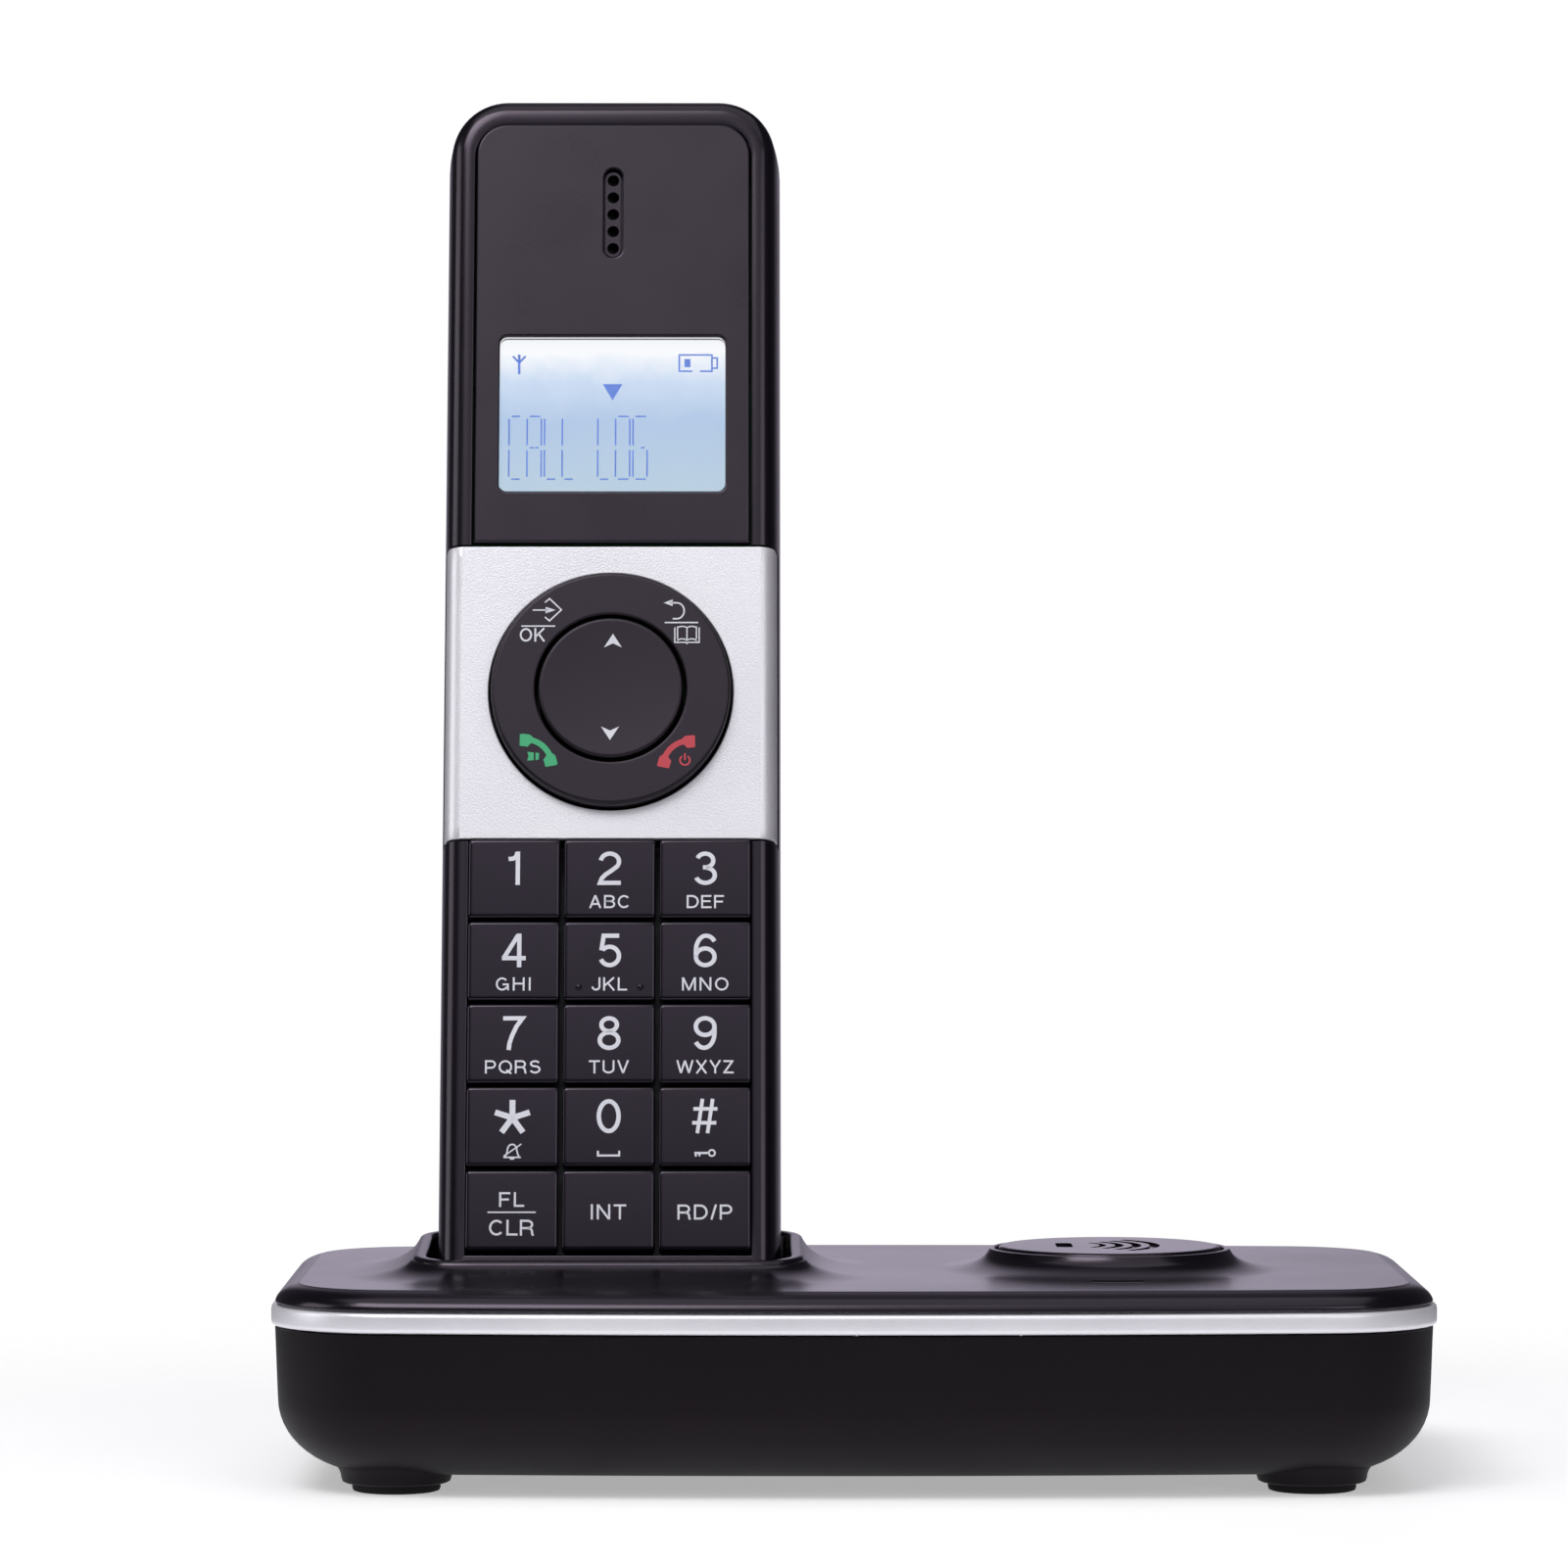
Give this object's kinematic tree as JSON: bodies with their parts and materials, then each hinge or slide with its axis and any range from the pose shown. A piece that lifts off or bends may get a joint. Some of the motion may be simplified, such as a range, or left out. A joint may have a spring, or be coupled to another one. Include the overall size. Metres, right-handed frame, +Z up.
{
  "type": "cordless phone with base",
  "caption": "Slim cordless handset leaning back in a low charging base, with a keypad, dial ring, display, battery door and a round find button.",
  "frame": {"origin": "under the middle of the whole object's bounding box, on the plane that the feet stand on", "axes": "+Z up, +X to the find button's side, -Y towards the user, whom the keypad faces"},
  "size_m": [0.158, 0.0892, 0.1918],
  "materials": {
    "black_shell": "satin moulded ABS",
    "black_tub": "fine spark-eroded texture",
    "silver_trim": "silver metallic lacquer, satin",
    "face_plate": "smooth satin",
    "dial": "polished",
    "key_caps": "polished, printed legends",
    "lens": "clear acrylic",
    "lcd_glass": "polarised display glass",
    "diffuser": "white light guide",
    "light_guide": "clear acrylic",
    "foot_rubber": "moulded",
    "silicone": "matt silicone",
    "circuit_board": "solder mask",
    "nickel": "nickel plated",
    "screw_steel": "zinc plated",
    "speaker_black": "plain",
    "microphone_can": "drawn can",
    "cell_wrap": "shrink wrapped steel can"
  },
  "bodies": {
    "base": {"base_bottom_shell": "black_tub", "base_top_shell": "black_shell", "base_trim_band": "silver_trim", "foot_front_left": "foot_rubber", "foot_front_right": "foot_rubber", "foot_rear_left": "foot_rubber", "foot_rear_right": "foot_rubber", "base_screw_1": "screw_steel", "base_screw_2": "screw_steel", "base_screw_3": "screw_steel", "base_screw_4": "screw_steel", "base_circuit_board": "circuit_board", "line_jack": "black_tub", "power_jack": "black_tub", "find_button_switch": "speaker_black", "status_light_guide": "light_guide"},
    "find_button": {"find_button": "black_shell"},
    "charge_contact_left": {"charge_contact_left": "nickel"},
    "charge_contact_right": {"charge_contact_right": "nickel"},
    "handset": {"handset_front_shell": "black_shell", "handset_rear_shell": "black_shell", "handset_trim_band": "silver_trim", "face_plate": "face_plate", "display_lens": "lens", "lcd_panel": "lcd_glass", "backlight_panel": "diffuser", "handset_circuit_board": "circuit_board", "keypad_mat": "silicone", "earpiece_speaker": "speaker_black", "loudspeaker": "speaker_black", "microphone": "microphone_can", "charge_pad_left": "nickel", "charge_pad_right": "nickel", "battery_cell_left": "cell_wrap", "battery_cell_right": "cell_wrap", "battery_terminal_left": "nickel", "battery_terminal_right": "nickel", "battery_link_spring": "nickel", "handset_screw_left": "screw_steel", "handset_screw_right": "screw_steel"},
    "battery_door": {"battery_door": "black_shell"},
    "nav_ring_web": {"nav_ring_web": "silicone"},
    "nav_ring": {"nav_ring": "dial"},
    "nav_rocker": {"nav_rocker": "dial"},
    "key_clear": {"key_clear": "key_caps"},
    "key_intercom": {"key_intercom": "key_caps"},
    "key_redial": {"key_redial": "key_caps"},
    "key_star": {"key_star": "key_caps"},
    "key_0": {"key_0": "key_caps"},
    "key_hash": {"key_hash": "key_caps"},
    "key_7": {"key_7": "key_caps"},
    "key_8": {"key_8": "key_caps"},
    "key_9": {"key_9": "key_caps"},
    "key_4": {"key_4": "key_caps"},
    "key_5": {"key_5": "key_caps"},
    "key_6": {"key_6": "key_caps"},
    "key_1": {"key_1": "key_caps"},
    "key_2": {"key_2": "key_caps"},
    "key_3": {"key_3": "key_caps"}
  },
  "joints": [
    {"name": "handset_lift", "type": "slide", "parent": "base", "child": "handset", "axis": [0, 0.2504, 0.9681], "range_m": [0, 0.06]},
    {"name": "find_button_press", "type": "slide", "parent": "base", "child": "find_button", "axis": [0, 0, -1], "range_m": [0, 0.0008], "stiffness_N_per_m": 250, "springref_m": -0.0006},
    {"name": "charge_contact_left_press", "type": "slide", "parent": "base", "child": "charge_contact_left", "axis": [0, -0.2504, -0.9681], "range_m": [0, 0.0008], "stiffness_N_per_m": 50, "springref_m": -0.0005},
    {"name": "charge_contact_right_press", "type": "slide", "parent": "base", "child": "charge_contact_right", "axis": [0, -0.2504, -0.9681], "range_m": [0, 0.0008], "stiffness_N_per_m": 50, "springref_m": -0.0005},
    {"name": "battery_door_slide", "type": "slide", "parent": "handset", "child": "battery_door", "axis": [0, -0.2504, -0.9681], "range_m": [0, 0.004]},
    {"name": "nav_ring_press_upper_left", "type": "hinge", "parent": "handset", "child": "nav_ring_web", "pos_m": [-0.0335, 0.0026, 0.10782], "axis": [0.7071, 0.177, 0.6846], "range_deg": [-1.8, 1.8], "stiffness_Nm_per_rad": 0.04},
    {"name": "nav_ring_press_upper_right", "type": "hinge", "parent": "nav_ring_web", "child": "nav_ring", "pos_m": [-0.0335, 0.0026, 0.10782], "axis": [0.7071, -0.177, -0.6846], "range_deg": [-1.8, 1.8], "stiffness_Nm_per_rad": 0.04},
    {"name": "nav_rocker_tilt", "type": "hinge", "parent": "handset", "child": "nav_rocker", "pos_m": [-0.0335, 0.0026, 0.10782], "axis": [1, 0, 0], "range_deg": [-3, 3], "stiffness_Nm_per_rad": 0.02},
    {"name": "key_clear_press", "type": "slide", "parent": "handset", "child": "key_clear", "axis": [0, 0.9681, -0.2504], "range_m": [0, 0.0006], "stiffness_N_per_m": 200, "springref_m": -0.0004},
    {"name": "key_intercom_press", "type": "slide", "parent": "handset", "child": "key_intercom", "axis": [0, 0.9681, -0.2504], "range_m": [0, 0.0006], "stiffness_N_per_m": 200, "springref_m": -0.0004},
    {"name": "key_redial_press", "type": "slide", "parent": "handset", "child": "key_redial", "axis": [0, 0.9681, -0.2504], "range_m": [0, 0.0006], "stiffness_N_per_m": 200, "springref_m": -0.0004},
    {"name": "key_star_press", "type": "slide", "parent": "handset", "child": "key_star", "axis": [0, 0.9681, -0.2504], "range_m": [0, 0.0006], "stiffness_N_per_m": 200, "springref_m": -0.0004},
    {"name": "key_0_press", "type": "slide", "parent": "handset", "child": "key_0", "axis": [0, 0.9681, -0.2504], "range_m": [0, 0.0006], "stiffness_N_per_m": 200, "springref_m": -0.0004},
    {"name": "key_hash_press", "type": "slide", "parent": "handset", "child": "key_hash", "axis": [0, 0.9681, -0.2504], "range_m": [0, 0.0006], "stiffness_N_per_m": 200, "springref_m": -0.0004},
    {"name": "key_7_press", "type": "slide", "parent": "handset", "child": "key_7", "axis": [0, 0.9681, -0.2504], "range_m": [0, 0.0006], "stiffness_N_per_m": 200, "springref_m": -0.0004},
    {"name": "key_8_press", "type": "slide", "parent": "handset", "child": "key_8", "axis": [0, 0.9681, -0.2504], "range_m": [0, 0.0006], "stiffness_N_per_m": 200, "springref_m": -0.0004},
    {"name": "key_9_press", "type": "slide", "parent": "handset", "child": "key_9", "axis": [0, 0.9681, -0.2504], "range_m": [0, 0.0006], "stiffness_N_per_m": 200, "springref_m": -0.0004},
    {"name": "key_4_press", "type": "slide", "parent": "handset", "child": "key_4", "axis": [0, 0.9681, -0.2504], "range_m": [0, 0.0006], "stiffness_N_per_m": 200, "springref_m": -0.0004},
    {"name": "key_5_press", "type": "slide", "parent": "handset", "child": "key_5", "axis": [0, 0.9681, -0.2504], "range_m": [0, 0.0006], "stiffness_N_per_m": 200, "springref_m": -0.0004},
    {"name": "key_6_press", "type": "slide", "parent": "handset", "child": "key_6", "axis": [0, 0.9681, -0.2504], "range_m": [0, 0.0006], "stiffness_N_per_m": 200, "springref_m": -0.0004},
    {"name": "key_1_press", "type": "slide", "parent": "handset", "child": "key_1", "axis": [0, 0.9681, -0.2504], "range_m": [0, 0.0006], "stiffness_N_per_m": 200, "springref_m": -0.0004},
    {"name": "key_2_press", "type": "slide", "parent": "handset", "child": "key_2", "axis": [0, 0.9681, -0.2504], "range_m": [0, 0.0006], "stiffness_N_per_m": 200, "springref_m": -0.0004},
    {"name": "key_3_press", "type": "slide", "parent": "handset", "child": "key_3", "axis": [0, 0.9681, -0.2504], "range_m": [0, 0.0006], "stiffness_N_per_m": 200, "springref_m": -0.0004}
  ]
}
